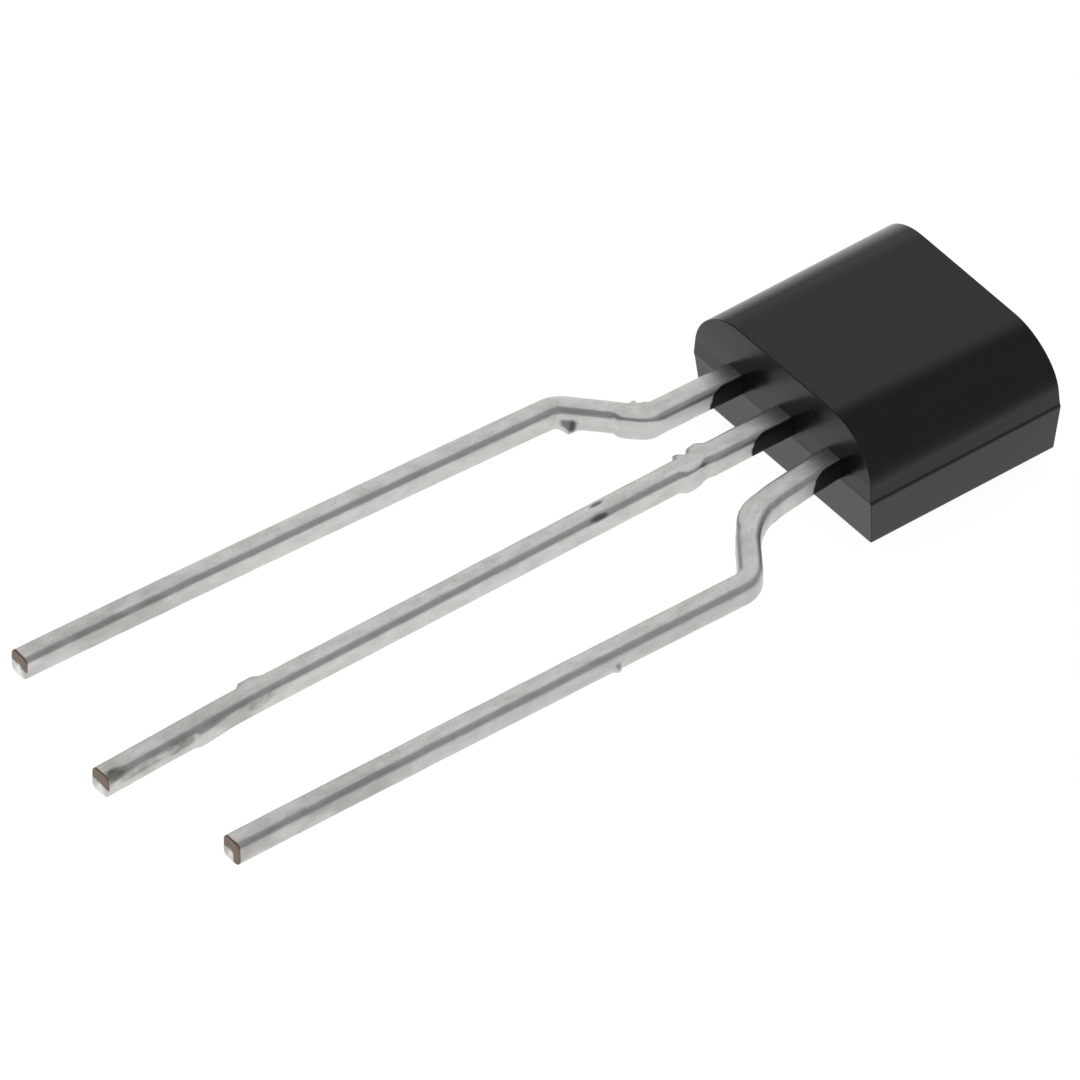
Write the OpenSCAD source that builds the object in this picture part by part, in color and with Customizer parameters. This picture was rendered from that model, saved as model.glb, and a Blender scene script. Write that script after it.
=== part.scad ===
// Three-lead transistor in a thin moulded case, millimetres.
// The case has a flat back, drafted walls and rounded shoulders. Its outer two leads are
// formed outwards for wider holes. It lies as it comes to rest: on the lower back edge of the
// case, at the lead end, and on the tip of the middle lead.
// Origin: middle of that edge. +X runs across the leads, -Y towards the tips, +Z up.

/* [Case] */
// Width of the case across the leads, at the parting line
case_w = 4.57; // [4.3:0.01:4.9]
// Length of the case along the leads, at the parting line
case_len = 3.87; // [3.7:0.01:4.2]
// Thickness of the case from flat back to flat front
case_t = 2.16; // [2.1:0.01:2.5]
// Width of the flat front between the shoulders
front_w = 2.37; // [2.0:0.01:2.6]
// Radius of the shoulders
shoulder_r = 1.15; // [1.05:0.01:1.3]
// Height of the mould's parting line above the back
parting_z = 0.94; // [0.8:0.01:1.1]
// Draft of the walls below the parting line, in degrees
back_draft = 5; // [2:0.5:7]
// Draft of the walls above the parting line, in degrees
front_draft = 3; // [2:0.5:7]
// Rounding of the moulded edges
edge_r = 0.06; // [0.03:0.01:0.12]

/* [Leads] */
// Distance between neighbouring leads where they leave the case
pitch = 1.27; // [1.2:0.01:1.35]
// Width of a lead
lead_w = 0.41; // [0.36:0.01:0.45]
// Thickness of a lead
lead_t = 0.44; // [0.38:0.01:0.5]
// Rounding of a lead's long edges
lead_edge_r = 0.07; // [0.04:0.01:0.1]
// Height of the leads' middle plane above the back
lead_z = 1.11; // [1.0:0.01:1.2]
// Length of the middle lead outside the case
lead_len = 13.77; // [12:0.01:14.5]
// Sideways kink of the middle lead near its tip, in degrees
tip_kink = 1.8; // [1:0.1:3]
// Radius of that kink
kink_r = 4; // [3:0.5:8]
// Length of the middle lead's kinked end
kinked_len = 2.9; // [2:0.1:4]
// Width of a lead between the case and its trimmed stub
root_w = 0.46; // [0.46:0.01:0.5]
// Width of a lead in its bends, where forming spreads it
bend_w = 0.43; // [0.43:0.01:0.45]

/* [Trimmed stubs] */
// Distance from the case to the stubs left where the leads were cut apart
stub_from_case = 1.62; // [1.5:0.01:1.8]
// Length of a stub along its lead
stub_len = 0.34; // [0.2:0.01:0.5]
// Width across a lead and its stubs
stub_w = 0.5; // [0.48:0.01:0.6]

/* [Formed outer leads] */
// Sideways lean of the collector lead where it leaves the case, in degrees
collector_lean = 1.5; // [1.5:0.1:3]
// Sideways lean of the emitter lead where it leaves the case, in degrees
emitter_lean = 7.5; // [4:0.1:9]
// Radius of the slight bends into these leans, at the middle of the lead
lean_r = 1.8; // [1.6:0.1:2.5]
// Distance from the case to the corner of the collector lead's outward bend
collector_corner = 1.68; // [1.6:0.01:1.8]
// Distance from the case to the corner of the emitter lead's outward bend
emitter_corner = 1.86; // [1.75:0.01:2]
// Radius of the collector lead's outward bend, at the middle of the lead
collector_bend_r = 0.42; // [0.35:0.01:0.6]
// Radius of the emitter lead's outward bend, at the middle of the lead
emitter_bend_r = 1.6; // [0.8:0.01:1.8]
// Radius of the return bends, at the middle of the lead
return_bend_r = 0.42; // [0.35:0.01:0.5]
// Angle of the collector lead's slanted stretch, in degrees
collector_slant = 47; // [40:1:60]
// Angle of the emitter lead's slanted stretch, in degrees
emitter_slant = 55; // [40:1:60]
// Sideways step of the collector lead
collector_step = 1.17; // [1:0.01:1.5]
// Sideways step of the emitter lead
emitter_step = 1.47; // [1.2:0.01:1.6]
// Outward lean of the collector lead beyond its step, in degrees
collector_splay = 2.7; // [-2:0.1:3]
// Outward lean of the emitter lead beyond its step, in degrees
emitter_splay = -1; // [-2:0.1:3]
// Reach of the outer leads from the case to their tips
outer_reach = 13.1; // [11.5:0.01:14]

/* [Inside the case] */
// Distance from the lead end of the case to the die flag
flag_from_case = 1.6; // [1.5:0.01:1.7]
// Length of the die flag along the leads
flag_len = 1.3; // [1.1:0.01:1.5]
// Width that the flag and the emitter's post add on the outer side of their leads
sheet_rim = 0.05; // [0.02:0.01:0.1]
// Clear gap between the flag and the two bonding posts
post_gap = 0.35; // [0.25:0.01:0.4]
// Width of the emitter's bonding post
emitter_post_w = 0.7; // [0.6:0.01:0.8]
// Width of the base's bonding post
base_post_w = 0.75; // [0.6:0.01:0.9]
// Length of the base's bonding post along the lead
base_post_len = 0.5; // [0.4:0.01:0.6]
// Side of the square silicon die
die_w = 0.56; // [0.45:0.01:0.65]
// Thickness of the die
die_t = 0.16; // [0.12:0.01:0.2]
// Distance from the die to the flag's edges beside the posts
die_margin = 0.14; // [0.1:0.01:0.2]
// Distance from a bonding pad's middle to the die's edges
pad_inset = 0.14; // [0.12:0.01:0.18]
// Diameter of a bonding wire
wire_d = 0.1; // [0.06:0.01:0.12]

/* [Hidden] */
$fn = 48;

// Walls: the case is widest at its parting line, and narrows to the back and to the front
back_inset = parting_z * tan(back_draft);
front_inset = (case_t - parting_z) * tan(front_draft);
shoulder_z = case_t - shoulder_r;
lead_face = -back_inset;
far_face = lead_face + case_len;

// Neighbouring stretches of a lead lap each other, and differ a little in section: the bends are
// spread by forming, and the roots are pressed between the halves of the mould
lap = 0.02;
pressed = 0.004;
root_t = lead_t - 2 * pressed;
bend_t = lead_t + 2 * pressed;
lean_w = root_w + 2 * pressed;

// The lead frame: one sheet, with the flag coined down by the thickness of the die
frame_bottom = lead_z - lead_t / 2;
frame_top = lead_z + lead_t / 2;
flag_t = lead_t - die_t;
flag_y = lead_face + flag_from_case;
emitter_post_x = pitch + root_w / 2 + sheet_rim - emitter_post_w;
flag_left = -pitch - root_w / 2 - sheet_rim;
root_in_flag = flag_from_case + flag_len / 2;
flag_right = emitter_post_x - post_gap;
base_post_end = flag_y - post_gap;

// The die sits at the corner of the flag that both posts reach
die_x = flag_right - die_margin - die_w;
die_y = flag_y + die_margin;
base_pad = [die_x + pad_inset, die_y + pad_inset];
emitter_pad = [die_x + die_w - pad_inset, die_y + die_w - pad_inset];
base_bond = [0, base_post_end - base_post_len / 2];
emitter_bond = [emitter_post_x + emitter_post_w / 2, emitter_pad.y];

// The middle lead's kink, measured along the lead
kink_len = PI * kink_r * tip_kink / 180;

// Rest: the lower edge of the middle lead's tip comes down to the level of the case's back edge
lead_tip = lead_len - lead_face;
rest_lean = atan(frame_bottom / lead_tip);

function unit(v) = v / norm(v);

// Corner i of an outline of [x, y, radius] points: its two tangent points and its arc's centre
function corner(points, i) =
    let (
        n = len(points),
        here = [points[i].x, points[i].y],
        before = points[(i + n - 1) % n],
        after = points[(i + 1) % n],
        r = points[i].z,
        u = unit([before.x, before.y] - here),
        v = unit([after.x, after.y] - here),
        half_angle = acos(u * v) / 2,
        reach = r / tan(half_angle)
    )
    [here + u * reach, here + v * reach, here + unit(u + v) * r / sin(half_angle)];

// A convex outline whose corners are rounded by arcs
module rounded_outline(points) {
    corners = [for (i = [0:len(points) - 1]) corner(points, i)];
    polygon([for (i = [0:len(points) - 1])
        each points[i].z > 0 ? [corners[i][0], corners[i][1]] : [corners[i][0]]]);
    for (i = [0:len(points) - 1])
        if (points[i].z > 0)
            translate(corners[i][2])
                circle(r = points[i].z);
}

// The part as it comes to rest
module at_rest() {
    rotate([rest_lean, 0, 0])
        children();
}

// Section of the case across the leads: drafted walls cut by the two shoulders
module cross_section() {
    half = case_w / 2;
    intersection() {
        rounded_outline([
            [half - back_inset, 0, edge_r],
            [half, parting_z, 0],
            [half - front_inset, case_t, 0],
            [front_inset - half, case_t, 0],
            [-half, parting_z, 0],
            [back_inset - half, 0, edge_r],
        ]);
        union() {
            translate([-front_w / 2, 0])
                square([front_w, case_t]);
            translate([-half, 0])
                square([case_w, shoulder_z]);
            for (side = [-1, 1])
                translate([side * front_w / 2, shoulder_z])
                    circle(r = shoulder_r);
        }
    }
}

// Section of the case along the leads: both ends drafted from the parting line
module long_section() {
    rounded_outline([
        [lead_face + back_inset, 0, edge_r],
        [far_face - back_inset, 0, edge_r],
        [far_face, parting_z, 0],
        [far_face - front_inset, case_t, edge_r],
        [lead_face + front_inset, case_t, edge_r],
        [lead_face, parting_z, 0],
    ]);
}

module case_block() {
    intersection() {
        translate([0, far_face, 0])
            rotate([90, 0, 0])
                linear_extrude(case_len)
                    cross_section();
        translate([-case_w / 2, 0, 0])
            rotate([90, 0, 90])
                linear_extrude(case_w)
                    long_section();
    }
}

// Section of a lead, with its edges rounded
module lead_section(w, t) {
    rounded_outline([
        [w / 2, t / 2, lead_edge_r],
        [-w / 2, t / 2, lead_edge_r],
        [-w / 2, -t / 2, lead_edge_r],
        [w / 2, -t / 2, lead_edge_r],
    ]);
}

// A straight stretch along -Y, which reaches past its two ends into what it joins.
// What follows starts at its end
module stretch(length, w, t, back, ahead) {
    translate([0, back, 0])
        rotate([90, 0, 0])
            linear_extrude(back + length + ahead)
                lead_section(w, t);
    translate([0, -length, 0])
        children();
}

// The root of a lead, from inside the case
module root(depth, length) {
    stretch(length, root_w, root_t, depth, lap)
        children();
}

// A straight stretch between bends, and the last one, which ends at the tip
module run(length) {
    stretch(length, lead_w, lead_t, lap, lap)
        children();
}

module tail(length) {
    stretch(length, lead_w, lead_t, lap, 0);
}

// A section swept round part of a bend towards +X
module arc(from, to, r) {
    translate([r, 0, 0])
        rotate([0, 0, 180 + from])
            rotate_extrude(angle = to - from)
                translate([r, 0])
                    children();
}

// A bend in the plane of the leads, towards +X. What follows starts at its end
module bend_out(angle, r, w) {
    arc(0, angle, r)
        lead_section(w, bend_t);
    translate([r, 0, 0])
        rotate([0, 0, angle])
            translate([-r, 0, 0])
                children();
}

// A bend back, towards -X
module bend_back(angle, r) {
    mirror([1, 0, 0])
        bend_out(angle, r, bend_w)
            mirror([1, 0, 0])
                children();
}

// Section across a lead and what is left, on both its sides, of the bar that joined the leads
module stub_section() {
    square([stub_w, lead_t - 2 * lead_edge_r], center = true);
}

// An outer lead from its root in the case to its tip. It leans a little as it leaves the case, and
// then steps towards +X
module formed_lead(lean, corner, step, angle, r, splay) {
    turn = angle - lean;
    straight = (corner - lean_r * sin(lean)) / cos(lean) - r * tan(turn / 2);
    bend_from_case = PI * lean_r * lean / 180 + straight;
    bend_len = PI * r * turn / 180;
    stub_start = max(stub_from_case - bend_from_case, 2 * lap);
    stub_end = min(stub_start + stub_len, bend_len - 2 * lap);
    sideways = lean_r * (1 - cos(lean)) + straight * sin(lean) + r * (cos(lean) - cos(angle))
        + return_bend_r * (cos(splay) - cos(angle));
    slant = (step - sideways) / sin(angle);
    stepped = lean_r * sin(lean) + straight * cos(lean) + r * (sin(angle) - sin(lean))
        + slant * cos(angle) + return_bend_r * (sin(angle) - sin(splay));
    root(root_in_flag, 0)
        bend_out(lean, lean_r, lean_w)
            root(lap, straight) {
                bend_out(turn, r, bend_w)
                    run(slant)
                        bend_back(angle - splay, return_bend_r)
                            tail((outer_reach - stepped) / cos(splay));
                arc(turn * stub_start / bend_len, turn * stub_end / bend_len, r)
                    stub_section();
            }
}

// A piece of the lead frame's sheet, from its underside up
module sheet(x, y, size, t) {
    translate([x, y, frame_bottom])
        cube([size.x, size.y, t]);
}

module collector_shape() {
    translate([-pitch, lead_face, lead_z])
        mirror([1, 0, 0])
            formed_lead(collector_lean, collector_corner, collector_step, collector_slant,
                        collector_bend_r, collector_splay);
    sheet(flag_left, flag_y, [flag_right - flag_left, flag_len], flag_t);
}

module base_shape() {
    translate([0, lead_face, lead_z])
        root(base_bond.y - lead_face, stub_from_case) {
            run(lead_len - stub_from_case - kink_len - kinked_len)
                bend_out(tip_kink, kink_r, bend_w)
                    tail(kinked_len);
            rotate([90, 0, 0])
                linear_extrude(stub_len)
                    stub_section();
        }
    sheet(-base_post_w / 2, base_post_end - base_post_len, [base_post_w, base_post_len], lead_t);
}

module emitter_shape() {
    translate([pitch, lead_face, lead_z])
        formed_lead(emitter_lean, emitter_corner, emitter_step, emitter_slant,
                    emitter_bend_r, emitter_splay);
    sheet(emitter_post_x, flag_y, [emitter_post_w, flag_len], lead_t);
}

module die_shape() {
    translate([die_x, die_y, frame_bottom + flag_t])
        cube([die_w, die_w, die_t]);
}

// A bonding wire: a half ring that stands on the die and on a post
module wire_shape(from, to) {
    span = to - from;
    middle = (from + to) / 2;
    translate([middle.x, middle.y, frame_top])
        rotate([0, 0, atan2(span.y, span.x)])
            rotate([90, 0, 0])
                rotate_extrude(angle = 180)
                    translate([norm(span) / 2, 0])
                        circle(d = wire_d);
}

// The moulded case, with the space that the lead frame, the die and the wires fill
module case() {
    color("#1c1c1e")
        at_rest()
            difference() {
                case_block();
                collector_shape();
                base_shape();
                emitter_shape();
                die_shape();
                wire_shape(base_pad, base_bond);
                wire_shape(emitter_pad, emitter_bond);
            }
}

module collector_lead() {
    color("#b4b4ae")
        at_rest()
            collector_shape();
}

module base_lead() {
    color("#b4b4ae")
        at_rest()
            base_shape();
}

module emitter_lead() {
    color("#b4b4ae")
        at_rest()
            emitter_shape();
}

module die() {
    color("#4a4d57")
        at_rest()
            die_shape();
}

module base_wire() {
    color("#d8b45a")
        at_rest()
            wire_shape(base_pad, base_bond);
}

module emitter_wire() {
    color("#d8b45a")
        at_rest()
            wire_shape(emitter_pad, emitter_bond);
}

case();
collector_lead();
base_lead();
emitter_lead();
die();
base_wire();
emitter_wire();
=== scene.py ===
from collections import namedtuple
from math import atan, atan2, ceil, cos, pi, radians, sin, sqrt, tan

import bmesh
import bpy
from mathutils import Matrix, Vector, noise


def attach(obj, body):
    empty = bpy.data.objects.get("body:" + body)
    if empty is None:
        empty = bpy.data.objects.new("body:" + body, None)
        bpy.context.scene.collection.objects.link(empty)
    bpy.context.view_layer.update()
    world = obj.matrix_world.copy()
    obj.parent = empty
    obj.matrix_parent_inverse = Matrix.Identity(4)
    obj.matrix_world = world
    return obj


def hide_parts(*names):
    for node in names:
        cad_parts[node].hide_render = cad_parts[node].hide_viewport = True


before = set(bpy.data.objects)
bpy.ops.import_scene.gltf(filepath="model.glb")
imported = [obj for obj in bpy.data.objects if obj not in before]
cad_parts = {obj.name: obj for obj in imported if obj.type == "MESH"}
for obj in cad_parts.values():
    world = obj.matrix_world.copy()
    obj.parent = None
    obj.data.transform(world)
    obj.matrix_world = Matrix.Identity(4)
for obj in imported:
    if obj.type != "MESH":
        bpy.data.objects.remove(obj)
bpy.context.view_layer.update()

# Lengths are in millimetres and angles in degrees, but for REST_LEAN. They hold for the part lying flat
# on its back: x across the leads, y along them with the tips at -y, z up. LAID turns it to how it rests.
MM = 0.001

CASE_W, CASE_LEN, CASE_T = 4.57, 3.87, 2.16
FRONT_W, SHOULDER_R = 2.37, 1.15
PARTING_Z, BACK_DRAFT, FRONT_DRAFT = 0.94, 5, 3
BACK_EDGE_R, END_EDGE_R, CREASE_EASE = 0.06, 0.018, 20
MISMATCH, MISMATCH_H = 0.022, 0.09
EDGE_STEPS, PARTING_STEPS, EASE_STEPS, SHOULDER_STEPS = 6, 10, 12, 22
SHARP_FROM = 40

PITCH, LEAD_W, LEAD_T, LEAD_Z = 1.27, 0.41, 0.44, 1.11
LEAD_EDGE_R, SHEARED_EDGE_R, SHEARED_EASE = 0.105, 0.045, 0.2
ROOT_W, ROOT_END, TAPER = 0.46, 1.5, 0.15
LEAD_LEN, OUTER_REACH = 13.77, 13.1
KINKED_LEN, TIP_KINK, KINK_R = 2.9, 1.8, 4
LEAN_R, RETURN_R = 1.8, 0.42
TIP_EDGE_R, RING_SPACING, DENT_STEPS = 0.014, 0.05, 8
BURR_EASE, UNEVEN, RIPPLE = 0.06, 0.005, 0.003
RESIN_LAG, RESIN_SLOPE = 0.4, 0.25
HANDLED_FROM, HANDLED_TO = 9.8, 11

FLAG_FROM_CASE, FLAG_LEN, FLAG_T, SHEET_RIM, SHEET_EDGE_R = 1.6, 1.3, 0.28, 0.05, 0.01
POST_GAP, EMITTER_POST_W, BASE_POST_W, BASE_POST_LEN = 0.35, 0.7, 0.75, 0.5

BACK_INSET = PARTING_Z * tan(radians(BACK_DRAFT))
SHOULDER_Z = CASE_T - SHOULDER_R
LEAD_FACE = -BACK_INSET
FAR_FACE = LEAD_FACE + CASE_LEN
FLAG_LEFT = -PITCH - ROOT_W / 2 - SHEET_RIM
EMITTER_POST_LEFT = PITCH + ROOT_W / 2 + SHEET_RIM - EMITTER_POST_W
FLAG_RIGHT = EMITTER_POST_LEFT - POST_GAP

REST_LEAN = atan((LEAD_Z - LEAD_T / 2) / (LEAD_LEN - LEAD_FACE))
LAID = Matrix.Rotation(REST_LEAN, 4, "X") @ Matrix.Scale(MM, 4)

# The photograph's view of the part lying flat: where the camera stands, and what it aims at
CAMERA_BACK = Vector((0.5855, -0.456, 0.670)).normalized()
CAMERA_AIM = Vector((-1.12, -4.11, 0))
CAMERA_DISTANCE, CAMERA_LENS = 600, 1255

FLOOR_HALF, FLOOR_DROP, PAPER_LEVEL, WHITE_LEVEL = 500, 0.002, 0.25, 0.94
BRIGHT_TO, DIM_FROM, FALL_OFF = 2, 8, 0.65
CEILING_LEVEL, BACK_GLOW, SIDE_GLOW = 0.18, 0.33, 0.16
SOFTBOX_SIZE, SOFTBOX_DISTANCE, SOFTBOX_LEVEL = 110, 160, 0.26
SOFTBOX_WAY = Vector((-0.62, 0.46, 0.64)).normalized()


# Shaders, written as expressions

class Value:
    """A shader's socket. Arithmetic on it adds Math nodes to its tree."""

    def __init__(self, tree, socket):
        self.tree, self.socket = tree, socket

    def out(self, name):
        return Value(self.tree, self.socket.node.outputs[name])

    def math(self, operation, first, second):
        return self.tree.node("ShaderNodeMath", {"operation": operation}, {0: first, 1: second})

    def __add__(self, other):
        return self.math("ADD", self, other)

    def __radd__(self, other):
        return self.math("ADD", other, self)

    def __sub__(self, other):
        return self.math("SUBTRACT", self, other)

    def __rsub__(self, other):
        return self.math("SUBTRACT", other, self)

    def __mul__(self, other):
        return self.math("MULTIPLY", self, other)

    def __rmul__(self, other):
        return self.math("MULTIPLY", other, self)

    def highest(self, other):
        return self.math("MAXIMUM", self, other)

    def step(self, low, high):
        """0 below low, 1 above high, and smooth between them."""
        return self.tree.node("ShaderNodeMapRange", {"interpolation_type": "SMOOTHSTEP"},
                              {"Value": self, "From Min": low, "From Max": high})


class Shader:
    """A node tree that starts empty."""

    def __init__(self, tree):
        self.nodes, self.links = tree.nodes, tree.links
        self.nodes.clear()

    def node(self, kind, settings=None, sockets=None, output=0):
        made = self.nodes.new(kind)
        for name, setting in (settings or {}).items():
            setattr(made, name, setting)
        for name, value in (sockets or {}).items():
            if isinstance(value, Value):
                self.links.new(value.socket, made.inputs[name])
            else:
                made.inputs[name].default_value = value
        return Value(self, made.outputs[output]) if made.outputs else None

    def mix(self, factor, first, second):
        """From colour first to colour second."""
        return self.node("ShaderNodeMix", {"data_type": "RGBA"}, {0: factor, 6: first, 7: second}, 2)

    def stretched(self, vector, scale):
        return self.node("ShaderNodeVectorMath", {"operation": "MULTIPLY"}, {0: vector, 1: scale})

    def noise(self, vector, scale, detail=3, roughness=0.55):
        return self.node("ShaderNodeTexNoise", {}, {
            "Vector": vector, "Scale": scale, "Detail": detail, "Roughness": roughness})

    def bump(self, height, depth_mm):
        return self.node("ShaderNodeBump", {}, {"Height": height, "Strength": 1, "Distance": depth_mm * MM})


def grey(level):
    return (level, level, level, 1)


def finish(name):
    material = bpy.data.materials.new(name)
    material.use_nodes = True
    return material, Shader(material.node_tree)


def surface(shader, sockets):
    """Ends a tree with one Principled shader."""
    principled = shader.node("ShaderNodeBsdfPrincipled", {}, sockets)
    shader.node("ShaderNodeOutputMaterial", {}, {"Surface": principled})


def black_epoxy():
    """Glossy moulding compound: a fine spark-eroded grain, faint flow marks and filler flecks."""
    material, shader = finish("black_epoxy")
    place = shader.node("ShaderNodeTexCoord", output="Object")
    grain = shader.noise(place, 24000, 2)
    flow = shader.noise(shader.stretched(place, (1, 0.35, 1)), 1600, 3)
    flecks = shader.noise(place, 15000, 1).step(0.69, 0.76)
    scuffs = shader.noise(shader.stretched(place, (1, 0.12, 1)), 9000, 2).step(0.62, 0.75)
    black = shader.mix(flow, grey(0.011), (0.018, 0.018, 0.0185, 1))
    surface(shader, {
        "Base Color": shader.mix(0.5 * flecks, black, grey(0.06)),
        "Roughness": 0.17 + 0.08 * flow + 0.06 * scuffs + 0.05 * flecks,
        "IOR": 1.42,
        "Normal": shader.bump(grain + 2 * flow, 0.0006),
    })
    return material


def tin_plate():
    """Satin tin over copper: drawn lines along the lead, dull blotches, duller sheared sides, patches
    dulled by handling near the tip, bare copper where it was cut, grime on the burrs and black resin
    that bled along the sides from the case."""
    material, shader = finish("tin_plate")

    def attribute(name, output="Fac"):
        return shader.node("ShaderNodeAttribute", {"attribute_name": name}, output=output)

    place = attribute("lead_place", "Vector")
    flank = attribute("flank")
    lines = shader.noise(shader.stretched(place, (1, 0.03, 1)), 26, 3, 0.65)
    blotches = shader.noise(shader.stretched(place, (1, 0.45, 1)), 5, 4, 0.6)
    pits = shader.noise(place, 34, 2).step(0.62, 0.74)
    along = shader.node("ShaderNodeSeparateXYZ", {}, {0: place}, "Y")
    patches = shader.noise(shader.stretched(place, (0.8, 0.4, 0.8)), 2.5, 2).step(0.35, 0.6)
    handled = along.step(HANDLED_FROM, HANDLED_TO) * patches
    worn = (attribute("bare") + 0.9 * (blotches - 0.5)).step(0.45, 0.7)
    # Darker, duller colour at burrs and dents: painted shade where burrs shade the lead's side, and dark
    # marks.
    painted_shade_and_marks = (attribute("stain") + 0.8 * (blotches - 0.5)).step(0.3, 0.8)
    # Black resin on the sides, carried round the rounded edges by flank as painted shade.
    resin_and_edge_shade = (attribute("resin") + 0.12 * (blotches - 0.5)).step(-0.02, 0.02) * flank.step(0.35, 0.65)
    tin = shader.mix(blotches.step(0.35, 0.7), (0.92, 0.916, 0.89, 1), (0.79, 0.786, 0.755, 1))
    # Painted shade: the sheared sides are mixed towards dark grey so that they read darker than the tops.
    sheared = shader.mix(0.42 * flank, tin, (0.3, 0.3, 0.29, 1))
    smudged = shader.mix((0.2 + 0.2 * flank) * handled, sheared, (0.3, 0.29, 0.26, 1))
    dull = shader.mix(0.45 * pits, smudged, (0.38, 0.375, 0.35, 1))
    copper = shader.mix(lines, (0.29, 0.22, 0.18, 1), (0.17, 0.135, 0.11, 1))
    shaded_and_marked = shader.mix(0.85 * painted_shade_and_marks, shader.mix(worn, dull, copper), (0.15, 0.144, 0.12, 1))
    surface(shader, {
        "Base Color": shader.mix(resin_and_edge_shade, shaded_and_marked, grey(0.014)),
        "Metallic": (1 - 0.3 * painted_shade_and_marks) * (1 - resin_and_edge_shade),
        "Roughness": 0.3 + 0.12 * blotches + 0.1 * lines + 0.15 * painted_shade_and_marks + 0.1 * worn + 0.15 * resin_and_edge_shade,
        "Specular IOR Level": 0.25,
        "Normal": shader.bump(lines + 0.6 * blotches - 0.8 * pits, 0.0025),
    })
    return material


def polished_silicon():
    """Bare silicon with a fine grid of diffused areas."""
    material, shader = finish("polished_silicon")
    place = shader.node("ShaderNodeTexCoord", output="Object")
    cloud = shader.noise(place, 5000, 3)
    grid = shader.node("ShaderNodeTexBrick", {"offset": 0.0},
                       {"Vector": place, "Scale": 9000, "Mortar Size": 0.04}, "Fac")
    bare = shader.mix(cloud, (0.07, 0.08, 0.11, 1), (0.11, 0.12, 0.15, 1))
    surface(shader, {
        "Base Color": shader.mix(0.5 * grid, bare, (0.2, 0.21, 0.24, 1)),
        "Metallic": 0.6,
        "Roughness": 0.12 + 0.1 * cloud,
        "Normal": shader.bump(grid, 0.0005),
    })
    return material


def drawn_gold():
    """Bright bonding wire with faint drawing marks."""
    material, shader = finish("drawn_gold")
    place = shader.node("ShaderNodeTexCoord", output="Object")
    marks = shader.noise(shader.stretched(place, (1, 1, 0.1)), 30000, 3)
    surface(shader, {
        "Base Color": shader.mix(marks, (0.86, 0.64, 0.26, 1), (0.74, 0.53, 0.2, 1)),
        "Metallic": 1,
        "Roughness": 0.18 + 0.15 * marks,
        "Normal": shader.bump(marks, 0.0005),
    })
    return material


# Pieces

def piece(name, points, faces, node, material, values=None):
    """A closed mesh that stands for a CAD node. values holds one value for each point, by name."""
    mesh = bpy.data.meshes.new(name)
    mesh.from_pydata([LAID @ Vector(p) for p in points], [], faces)
    for attribute, numbers in (values or {}).items():
        vector = isinstance(numbers[0], Vector)
        layer = mesh.attributes.new(attribute, "FLOAT_VECTOR" if vector else "FLOAT", "POINT")
        flat = [n for v in numbers for n in v] if vector else numbers
        layer.data.foreach_set("vector" if vector else "value", flat)
    shape = bmesh.new()
    shape.from_mesh(mesh)
    bmesh.ops.recalc_face_normals(shape, faces=shape.faces)
    shape.to_mesh(mesh)
    shape.free()
    mesh.shade_smooth()
    mesh.set_sharp_from_angle(angle=radians(SHARP_FROM))
    mesh.materials.append(material)
    made = bpy.data.objects.new(name, mesh)
    bpy.context.scene.collection.objects.link(made)
    weighted = made.modifiers.new("flat faces stay flat", "WEIGHTED_NORMAL")
    weighted.keep_sharp = True
    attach(made, "root")
    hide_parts(node)


def ring_faces(rings, size):
    """Quads between neighbouring closed rings of points."""
    return [(r * size + k, r * size + (k + 1) % size, (r + 1) * size + (k + 1) % size, (r + 1) * size + k)
            for r in range(rings - 1) for k in range(size)]


def smooth(x, low, high):
    """0 below low, 1 above high, and smooth between them."""
    t = min(max((x - low) / (high - low), 0.0), 1.0)
    return t * t * (3 - 2 * t)


# The case

def wall_inset(z):
    """How far the drafted walls stand back from the parting line at a height."""
    draft = BACK_DRAFT if z < PARTING_Z else FRONT_DRAFT
    return abs(z - PARTING_Z) * tan(radians(draft))


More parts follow.
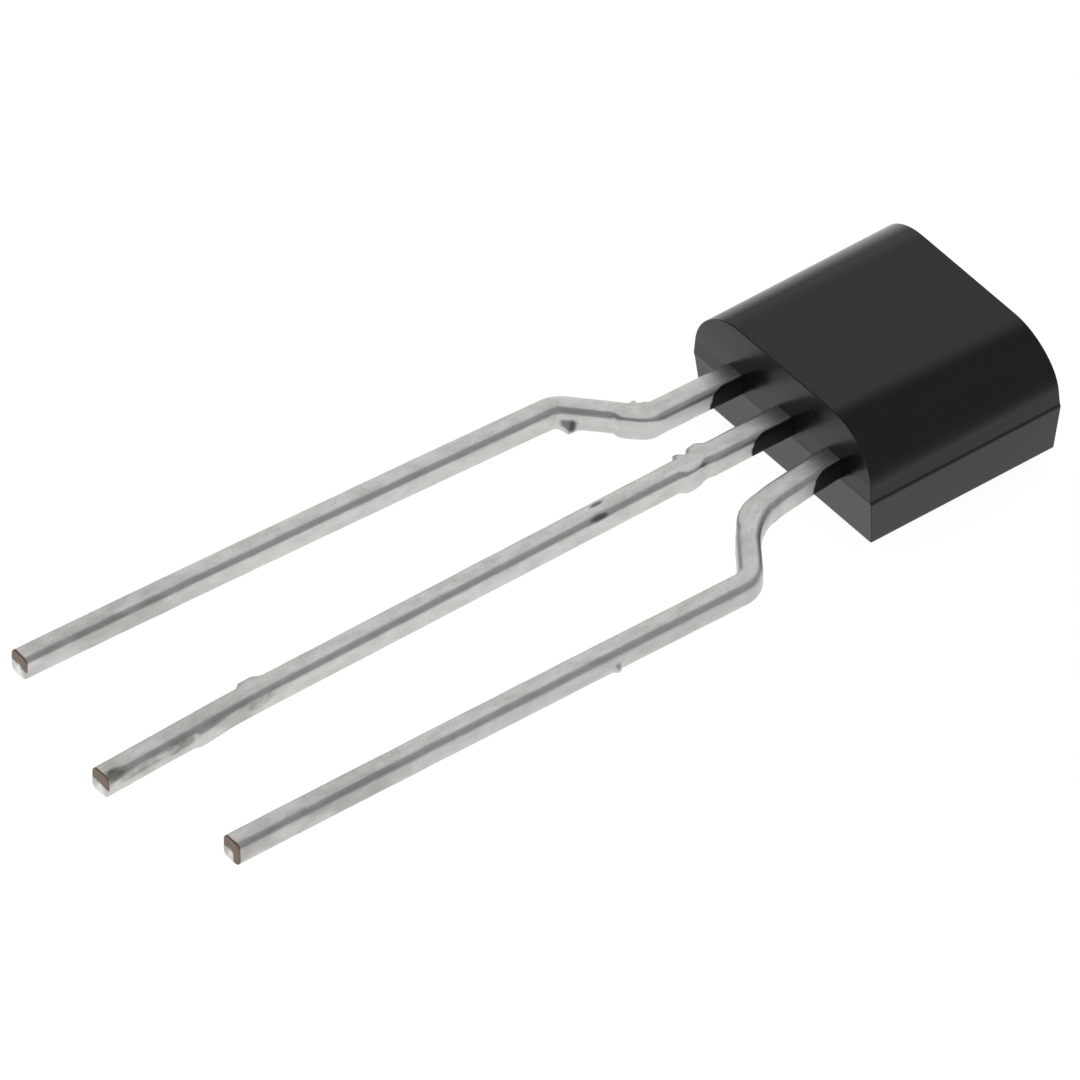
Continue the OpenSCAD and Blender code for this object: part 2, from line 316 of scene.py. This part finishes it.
def half_section():
    """Right half of the case's section across the leads, as (x, z, outward normal) from back to front."""
    half = CASE_W / 2
    turn = 90 - BACK_DRAFT
    arc_x = half - BACK_INSET - BACK_EDGE_R * tan(radians(turn / 2))
    points = []
    for i in range(EDGE_STEPS + 1):
        a = radians(-90 + turn * i / EDGE_STEPS)
        points.append((arc_x + BACK_EDGE_R * cos(a), BACK_EDGE_R * (1 + sin(a)), Vector((cos(a), sin(a)))))

    slope = tan(radians(FRONT_DRAFT))
    over = half - FRONT_W / 2 + (PARTING_Z - SHOULDER_Z) * slope
    rise = (over * slope + sqrt(SHOULDER_R ** 2 * (1 + slope ** 2) - over ** 2)) / (1 + slope ** 2)
    crease = atan2(rise, over - slope * rise)
    back_wall = Vector((1, -tan(radians(BACK_DRAFT)))).normalized()
    front_wall = Vector((1, slope)).normalized()
    eased = crease + radians(CREASE_EASE)
    end = Vector((FRONT_W / 2 + SHOULDER_R * cos(eased), SHOULDER_Z + SHOULDER_R * sin(eased)))
    reach = (half - wall_inset(end.y) - end.x) / (sin(eased) - slope * cos(eased))
    corner = end + reach * Vector((sin(eased), -cos(eased)))
    begin = corner - reach * Vector((-slope, 1)).normalized()
    parting = [PARTING_Z + MISMATCH_H * (k / PARTING_STEPS - 0.5) for k in range(PARTING_STEPS + 1)]
    for z in [PARTING_Z / 2] + parting + [begin.y]:
        points.append((half - wall_inset(z), z, back_wall if z < PARTING_Z else front_wall))
    for k in range(1, EASE_STEPS):
        part = k / EASE_STEPS
        low, high = begin.lerp(corner, part), corner.lerp(end, part)
        way = (high - low).normalized()
        points.append((*low.lerp(high, part), Vector((way.y, -way.x))))

    for i in range(SHOULDER_STEPS + 1):
        a = eased + (pi / 2 - eased) * i / SHOULDER_STEPS
        x, z = FRONT_W / 2 + SHOULDER_R * cos(a), SHOULDER_Z + SHOULDER_R * sin(a)
        points.append((x, z, Vector((cos(a), sin(a)))))
    return points


def out_of_register(x, y, z):
    """The mould's halves don't quite meet: the front one stands a little to the left."""
    return x - MISMATCH * smooth(z, PARTING_Z - MISMATCH_H / 2, PARTING_Z + MISMATCH_H / 2), y, z


def build_case(material):
    half = half_section()
    turns = [pi / 2 * i / EDGE_STEPS for i in range(EDGE_STEPS + 1)]
    ends = [(1, LEAD_FACE, t) for t in reversed(turns)] + [(-1, FAR_FACE, t) for t in turns]
    points = []
    for inward, face, turn in ends:
        back = END_EDGE_R * (1 - cos(turn))
        ring = []
        for x, z, normal in half:
            x, z = x - normal.x * back, z - normal.y * back
            y = face + inward * (wall_inset(z) + END_EDGE_R * (1 - sin(turn)))
            ring.append((x, y, z))
        points += [out_of_register(*p) for p in ring + [(-x, y, z) for x, y, z in reversed(ring)]]
    size = 2 * len(half)
    faces = ring_faces(len(ends), size)
    for first in (0, (len(ends) - 1) * size):
        faces += [(first + k, first + k + 1, first + size - 2 - k, first + size - 1 - k)
                  for k in range(len(half) - 1)]
    piece("moulded_case", points, faces, "case", material)


# The leads

Form = namedtuple("Form", "side lean corner step slant bend_r splay bow")
Form.__doc__ = """How an outer lead is bent, to one side (-1 left, 1 right): it leans from the case to the
corner of its outward bend, steps aside along a slant, and sets off at a splay that its bow takes back
evenly up to the tip. Splay and bow may be negative."""

COLLECTOR_FORM = Form(side=-1, lean=1.5, corner=1.68, step=1.17, slant=47, bend_r=0.42, splay=3.1, bow=1.1)
EMITTER_FORM = Form(side=1, lean=6.4, corner=1.9, step=1.47, slant=55, bend_r=1.6, splay=-1, bow=-0.6)

Burr = namedtuple("Burr", "start end rise fall side reach low high stain")
# What cutting and handling left on a lead, between two places along it, on one side of it (-1 left, 1 right)
# and between two heights from its middle. It stands out by reach, which is 0 for darkening alone, and rises
# and falls over those lengths. Its darkening darkens the lead's colour there.
Burr.__doc__ = """What cutting and handling left on a lead, between two places along it, on one side of it
(-1 left, 1 right) and between two heights from its middle. It stands out by reach, which is 0 for a stain
alone, and rises and falls over those lengths."""

Dent = namedtuple("Dent", "along across half_len half_w depth stain")
# A dark mark that a clamp pressed into a lead's upper face by depth, which is 0 for darkening alone. Its
# darkening darkens the lead's colour there.
Dent.__doc__ = """A dark mark that a clamp pressed into a lead's upper face by depth, which is 0 for a stain
alone."""

Wear = namedtuple("Wear", "resin bare_to burrs dents")
# How far resin ran along a lead's sides, how low its cut tip is bare copper, and its burrs and dents.
Wear.__doc__ = """How far resin bled along a lead's sides, how low its cut tip is bare copper, and its burrs
and dents."""

COLLECTOR_WEAR = Wear(0.6, -0.12, [
    Burr(1.5, 2.22, 0.15, 0.1, 1, 0.045, -0.3, 0.3, 0.0),
    Burr(1.5, 1.92, 0.15, 0.1, -1, 0.025, -0.3, 0.3, 0.0),
    Burr(1.84, 2.02, 0.1, 0.06, -1, 0.075, 0.02, 0.26, 0.7),
    # The darkening of these burrs under the second bend is painted shade on the lead's side face.
    Burr(2.7, 3.28, 0.2, 0.38, 1, 0.1, -0.3, -0.02, 0.2),
    Burr(2.8, 3.02, 0.1, 0.12, 1, 0.04, -0.3, -0.1, 0.5),
    Burr(2.74, 2.98, 0.1, 0.12, 1, 0.0, -0.14, 0.05, 0.75),
], [])
BASE_WEAR = Wear(0.78, -0.12, [
    Burr(1.42, 1.82, 0.18, 0.08, -1, 0.07, -0.3, 0.3, 0.0),
    Burr(1.84, 2.06, 0.12, 0.05, -1, 0.085, 0.0, 0.26, 0.65),
    Burr(1.66, 2.24, 0.34, 0.12, 1, 0.055, -0.3, 0.3, 0.0),
    Burr(10.33, 10.86, 0.18, 0.12, -1, 0.08, -0.1, 0.24, 0.0),
    Burr(11.1, 12.0, 0.7, 0.12, 1, 0.04, -0.3, 0.12, 0.0),
    Burr(10.2, 11.1, 0.3, 0.3, 1, 0.0, -0.08, 0.2, 0.42),
    Burr(11.9, 13.7, 0.15, 0.3, 1, 0.0, -0.06, 0.2, 0.49),
    Burr(13.1, 13.8, 0.4, 0.04, 1, 0.0, 0.04, 0.3, 0.6),
], [
    Dent(3.72, -0.09, 0.32, 0.09, 0.015, 0.75),
    Dent(3.83, 0.17, 0.36, 0.1, 0.02, 0.85),
    Dent(11.98, 0.16, 0.12, 0.09, 0.005, 0.5),
    Dent(13.62, 0.12, 0.45, 0.16, 0.0, 0.55),
])
EMITTER_WEAR = Wear(0.6, -0.3, [
    Burr(1.45, 2.3, 0.35, 0.4, -1, 0.05, -0.3, 0.3, 0.0),
    Burr(6.03, 6.22, 0.1, 0.06, 1, 0.055, -0.3, -0.06, 0.4),
], [])

Section = namedtuple("Section", "left right bottom top left_r right_r")


def section_points(section):
    """A section with rounded corners, as (across, up), counter-clockwise from the right-hand side."""
    per_corner, per_side = 6, 5
    left, right, bottom, top, left_r, right_r = section
    corners = [(right - right_r, top - right_r, right_r), (left + left_r, top - left_r, left_r),
               (left + left_r, bottom + left_r, left_r), (right - right_r, bottom + right_r, right_r)]
    arcs = []
    for i, (x, z, r) in enumerate(corners):
        angles = [radians(90 * (i + k / per_corner)) for k in range(per_corner + 1)]
        arcs.append([Vector((x + r * cos(a), z + r * sin(a))) for a in angles])
    points = []
    for arc, ahead in zip(arcs, arcs[1:] + arcs[:1]):
        points += arc + [arc[-1].lerp(ahead[0], k / (per_side + 1)) for k in range(1, per_side + 1)]
    return points


def walk(turns, start_x):
    """The middle of a lead and its heading there as a function of the distance from the case, and the
    lead's length. turns holds (length, angle) in order."""
    legs = []
    at, heading, done = Vector((start_x, LEAD_FACE)), 0.0, 0.0
    for length, angle in turns:
        legs.append((done, length, radians(angle), at.copy(), heading))
        at, heading = leg_end(at, heading, length, radians(angle))
        done += length

    def place(along):
        if along < 0:
            return Vector((start_x, LEAD_FACE - along)), 0.0
        begun, length, angle, begin, way = [leg for leg in legs if leg[0] <= along][-1]
        part = min((along - begun) / length, 1)
        return leg_end(begin, way, length * part, angle * part)

    return place, done


def leg_end(at, heading, length, angle):
    """Where a straight or evenly bent leg ends, and its heading there in radians: 0 is along -y, and a
    quarter turn is along +x."""
    middle = heading + angle / 2
    chord = length if abs(angle) < 1e-9 else length * sin(angle / 2) / (angle / 2)
    return at + chord * Vector((sin(middle), -cos(middle))), heading + angle


def formed_turns(form):
    """The legs of an outer lead, from the case to its tip."""
    lean, slant, splay = radians(form.lean), radians(form.slant), radians(form.splay)
    bend = slant - lean
    straight = (form.corner - LEAN_R * sin(lean)) / cos(lean) - form.bend_r * tan(bend / 2)
    sideways = (LEAN_R * (1 - cos(lean)) + straight * sin(lean) + form.bend_r * (cos(lean) - cos(slant))
                + RETURN_R * (cos(splay) - cos(slant)))
    run = (form.step - sideways) / sin(slant)
    stepped = (LEAN_R * sin(lean) + straight * cos(lean) + form.bend_r * (sin(slant) - sin(lean))
               + run * cos(slant) + RETURN_R * (sin(slant) - sin(splay)))
    legs = [(LEAN_R * lean, form.lean), (straight, 0),
            (form.bend_r * bend, form.slant - form.lean), (run, 0),
            (RETURN_R * (slant - splay), form.splay - form.slant),
            ((OUTER_REACH - stepped) / cos(splay), -form.bow)]
    return [(length, form.side * angle) for length, angle in legs]


def rise_and_fall(along, burr):
    """How far a burr has risen at a place along its lead, from 0 to 1."""
    if not burr.start < along < burr.end:
        return 0.0
    return smooth(min((along - burr.start) / burr.rise, (burr.end - along) / burr.fall), 0, 1)


def worked(point, along, half_w, wear, seed):
    """A point of the section after burrs, dents and unevenness, with how stained it is."""
    side = 1 if point.x > 0 else -1
    outer = smooth(abs(point.x) / half_w, 0.45, 0.95)
    shift, sunk, stain = 0.0, 0.0, 0.0
    for burr in wear.burrs:
        if burr.side == side:
            above = smooth(point.y, burr.low - BURR_EASE, burr.low + BURR_EASE)
            below = smooth(-point.y, -burr.high - BURR_EASE, -burr.high + BURR_EASE)
            amount = rise_and_fall(along, burr) * above * below * outer
            shift += burr.reach * amount
            stain = max(stain, burr.stain * amount)
    upper = smooth(point.y, LEAD_T / 2 - LEAD_EDGE_R, LEAD_T / 2 - LEAD_EDGE_R / 3)
    for dent in wear.dents:
        away = Vector(((along - dent.along) / dent.half_len, (point.x - dent.across) / dent.half_w)).length
        amount = (1 - smooth(away, 0.1, 1)) * upper
        sunk += dent.depth * amount
        stain = max(stain, dent.stain * amount)
    uneven = UNEVEN * noise.noise(Vector((along * 1.7, side * 3.1 + seed, 0))) * outer
    ripple = RIPPLE * noise.noise(Vector((along * 2.3, seed + 7.7, point.x * 4)))
    return Vector((point.x + side * (shift + uneven), point.y + ripple - sunk)), stain


def edge_radius(along, side, wear):
    """A lead's edges are sharper where the dam bar was sheared off over the full height of that side."""
    stubs = [burr for burr in wear.burrs if burr.side == side and burr.high - burr.low > LEAD_T]
    inside = max((min(along - stub.start, stub.end - along) for stub in stubs), default=0)
    sheared = smooth(inside, 0, SHEARED_EASE)
    return LEAD_EDGE_R + (SHEARED_EDGE_R - LEAD_EDGE_R) * sheared


def lead_stations(length, wear):
    """Distances from the case at which a lead gets a ring of points, closer together at its burrs and
    dents."""
    stations = [i * RING_SPACING for i in range(1, ceil(length / RING_SPACING))]
    for burr in wear.burrs:
        stations += [burr.start, burr.start + burr.rise, burr.end - burr.fall, burr.end,
                     burr.start + burr.rise / 2, burr.end - burr.fall / 2]
    for dent in wear.dents:
        stations += [dent.along + dent.half_len * k / DENT_STEPS for k in range(-DENT_STEPS, DENT_STEPS + 1)]
    return sorted(s for s in set(round(s, 3) for s in stations) if s < length - 2 * TIP_EDGE_R)


def build_lead(name, node, place, length, inner, wear, seed, material):
    """A lead from its inner end to its tip. inner holds (distance, section) from inside the case to its
    face."""
    points, values = [], {"lead_place": [], "flank": [], "resin": [], "stain": [], "bare": []}

    def ring(along, section, worn=False, scale=1.0, cut=False):
        middle, heading = place(along)
        right = Vector((cos(heading), sin(heading)))
        for point in section_points(section):
            edge_r = section.right_r if point.x > 0 else section.left_r
            flank = max(0.0, 1 - (section.right - abs(point.x)) / edge_r)
            stain = 0.0
            if worn:
                point, stain = worked(point, along, section.right, wear, seed)
            point = point * scale
            points.append((middle.x + right.x * point.x, middle.y + right.y * point.x, LEAD_Z + point.y))
            values["lead_place"].append(Vector((point.x + seed, along, point.y)))
            values["flank"].append(flank)
            values["resin"].append(wear.resin - along - RESIN_LAG * (1 - flank) - RESIN_SLOPE * point.y)
            values["stain"].append(stain)
            values["bare"].append(tip_bare(point, wear.bare_to) if cut else 0.0)

    for along, section in inner:
        ring(along, section)
    for along in lead_stations(length, wear):
        wide = ROOT_W + (LEAD_W - ROOT_W) * smooth(along, ROOT_END, ROOT_END + TAPER)
        ring(along, lead_section(wide, edge_radius(along, -1, wear), edge_radius(along, 1, wear)), worn=True)

    blunt = lead_section(LEAD_W)
    inset = TIP_EDGE_R / blunt.right
    for turn in (0, pi / 6, pi / 3, pi / 2):
        ring(length - TIP_EDGE_R * (1 - sin(turn)), blunt, scale=1 - inset * (1 - cos(turn)), cut=True)
    for scale in (0.8, 0.6, 0.4, 0.2):
        ring(length, blunt, scale=scale, cut=True)

    size = len(section_points(blunt))
    rings = len(points) // size
    faces = ring_faces(rings, size) + [tuple(range(size)), tuple(range((rings - 1) * size, rings * size))]
    piece(name, points, faces, node, material, values)


def tip_bare(point, lowest):
    """How bare a cut tip is: the shears smeared tin over its lower left, and left copper above and along
    the right."""
    right_edge = smooth(point.x, -0.02, 0.11) * smooth(point.y, lowest, lowest + 0.12)
    return 0.9 * max(smooth(point.y, -0.12, 0.06), right_edge)


def lead_section(width, left_r=LEAD_EDGE_R, right_r=LEAD_EDGE_R):
    return Section(-width / 2, width / 2, -LEAD_T / 2, LEAD_T / 2, left_r, right_r)


def sheet_section(left, right, thickness, lead_x):
    """The lead frame's sheet inside the case, as a section about its lead."""
    bottom = -LEAD_T / 2
    return Section(left - lead_x, right - lead_x, bottom, bottom + thickness, SHEET_EDGE_R, SHEET_EDGE_R)


def inner_end(sheet, near, far):
    """The sheet between two distances inside the case, and the root that joins it to the case's face."""
    root = lead_section(ROOT_W)
    return [(-far, sheet), (-near, sheet), (-near, root), (0, root)]


def build_leads(material):
    flag_end = FLAG_FROM_CASE + FLAG_LEN
    place, length = walk(formed_turns(COLLECTOR_FORM), -PITCH)
    flag = sheet_section(FLAG_LEFT, FLAG_RIGHT, FLAG_T, -PITCH)
    build_lead("collector_lead_and_flag", "collector_lead", place, length,
               inner_end(flag, FLAG_FROM_CASE, flag_end), COLLECTOR_WEAR, 1.0, material)

    kink = radians(TIP_KINK) * KINK_R
    place, length = walk([(LEAD_LEN - kink - KINKED_LEN, 0), (kink, TIP_KINK), (KINKED_LEN, 0)], 0)
    post_near = FLAG_FROM_CASE - POST_GAP - BASE_POST_LEN
    post = sheet_section(-BASE_POST_W / 2, BASE_POST_W / 2, LEAD_T, 0)
    build_lead("base_lead_and_post", "base_lead", place, length,
               inner_end(post, post_near, post_near + BASE_POST_LEN), BASE_WEAR, 12.0, material)

    place, length = walk(formed_turns(EMITTER_FORM), PITCH)
    post = sheet_section(EMITTER_POST_LEFT, EMITTER_POST_LEFT + EMITTER_POST_W, LEAD_T, PITCH)
    build_lead("emitter_lead_and_post", "emitter_lead", place, length,
               inner_end(post, FLAG_FROM_CASE, flag_end), EMITTER_WEAR, 23.0, material)


# Studio

def build_floor():
    """A white floor. Seen directly or in a reflection it is white, and it still takes the part's shadow. Its
    reflection falls off to the right, where the studio is darker."""
    material, shader = finish("white_floor")
    camera_ray = shader.node("ShaderNodeLightPath", output="Is Camera Ray")
    glossy_ray = camera_ray.out("Is Glossy Ray")
    seen = camera_ray.highest(glossy_ray).highest(camera_ray.out("Is Transmission Ray"))
    place = shader.node("ShaderNodeTexCoord", output="Object")
    right = shader.node("ShaderNodeSeparateXYZ", {}, {0: place}, "X").step(BRIGHT_TO * MM, DIM_FROM * MM)
    paper = shader.node("ShaderNodeBsdfDiffuse", {}, {"Color": grey(PAPER_LEVEL)})
    fading = shader.mix(FALL_OFF * right * glossy_ray, grey(WHITE_LEVEL), grey(0))
    white = shader.node("ShaderNodeEmission", {}, {"Color": fading, "Strength": seen})
    both = shader.node("ShaderNodeAddShader", {}, {0: paper, 1: white})
    shader.node("ShaderNodeOutputMaterial", {}, {"Surface": both})
    mesh = bpy.data.meshes.new("floor")
    reach, drop = FLOOR_HALF * MM, -FLOOR_DROP * MM
    corners = [(-reach, -reach, drop), (reach, -reach, drop), (reach, reach, drop), (-reach, reach, drop)]
    mesh.from_pydata(corners, [], [(0, 1, 2, 3)])
    mesh.materials.append(material)
    floor = bpy.data.objects.new("floor", mesh)
    bpy.context.scene.collection.objects.link(floor)


def build_light():
    """A white tent up to the horizon, dimmer above it and to the right, and one soft box at the back left."""
    world = bpy.data.worlds.new("studio")
    world.use_nodes = True
    shader = Shader(world.node_tree)
    way = shader.node("ShaderNodeTexCoord", output="Generated")

    def towards(direction, low, high):
        return shader.node("ShaderNodeVectorMath", {"operation": "DOT_PRODUCT"},
                           {0: way, 1: direction}, "Value").step(low, high)

    back_glow = BACK_GLOW * towards((-0.62, 0.6, 0.5), 0.72, 0.97)
    side_glow = SIDE_GLOW * towards((0.8, 0.2, 0.5), 0.1, 0.8)
    dim = towards((0, 0, 1), 0.0, 0.3).highest(towards((1, 0, 0), 0.2, 0.6))
    level = 1 - dim * (1 - (CEILING_LEVEL + back_glow + side_glow))
    background = shader.node("ShaderNodeBackground", {}, {"Color": grey(1.0), "Strength": level})
    shader.node("ShaderNodeOutputWorld", {}, {"Surface": background})
    bpy.context.scene.world = world

    lamp = bpy.data.lights.new("softbox", "AREA")
    lamp.size = SOFTBOX_SIZE * MM
    lamp.energy = SOFTBOX_LEVEL * pi * lamp.size ** 2
    softbox = bpy.data.objects.new("softbox", lamp)
    softbox.location = LAID @ CAMERA_AIM + SOFTBOX_WAY * SOFTBOX_DISTANCE * MM
    softbox.rotation_euler = SOFTBOX_WAY.to_track_quat("Z", "Y").to_euler()
    bpy.context.scene.collection.objects.link(softbox)


def build_camera():
    lens = bpy.data.cameras.new("camera")
    lens.lens, lens.sensor_width = CAMERA_LENS, 36
    lens.clip_start, lens.clip_end = 0.01, 10
    camera = bpy.data.objects.new("camera", lens)
    turn = Matrix.Rotation(REST_LEAN, 3, "X")
    back = turn @ CAMERA_BACK
    right = (turn @ Vector((0, 0, 1))).cross(back).normalized()
    camera.matrix_world = Matrix.Translation(LAID @ CAMERA_AIM + back * CAMERA_DISTANCE * MM) @ Matrix(
        (right, back.cross(right), back)).transposed().to_4x4()
    bpy.context.scene.collection.objects.link(camera)
    bpy.context.scene.camera = camera


bpy.context.scene.view_settings.view_transform = "Standard"
build_case(black_epoxy())
build_leads(tin_plate())
gold = drawn_gold()
for node, material in (("die", polished_silicon()), ("base_wire", gold), ("emitter_wire", gold)):
    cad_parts[node].data.materials.clear()
    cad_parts[node].data.materials.append(material)
build_floor()
build_light()
build_camera()
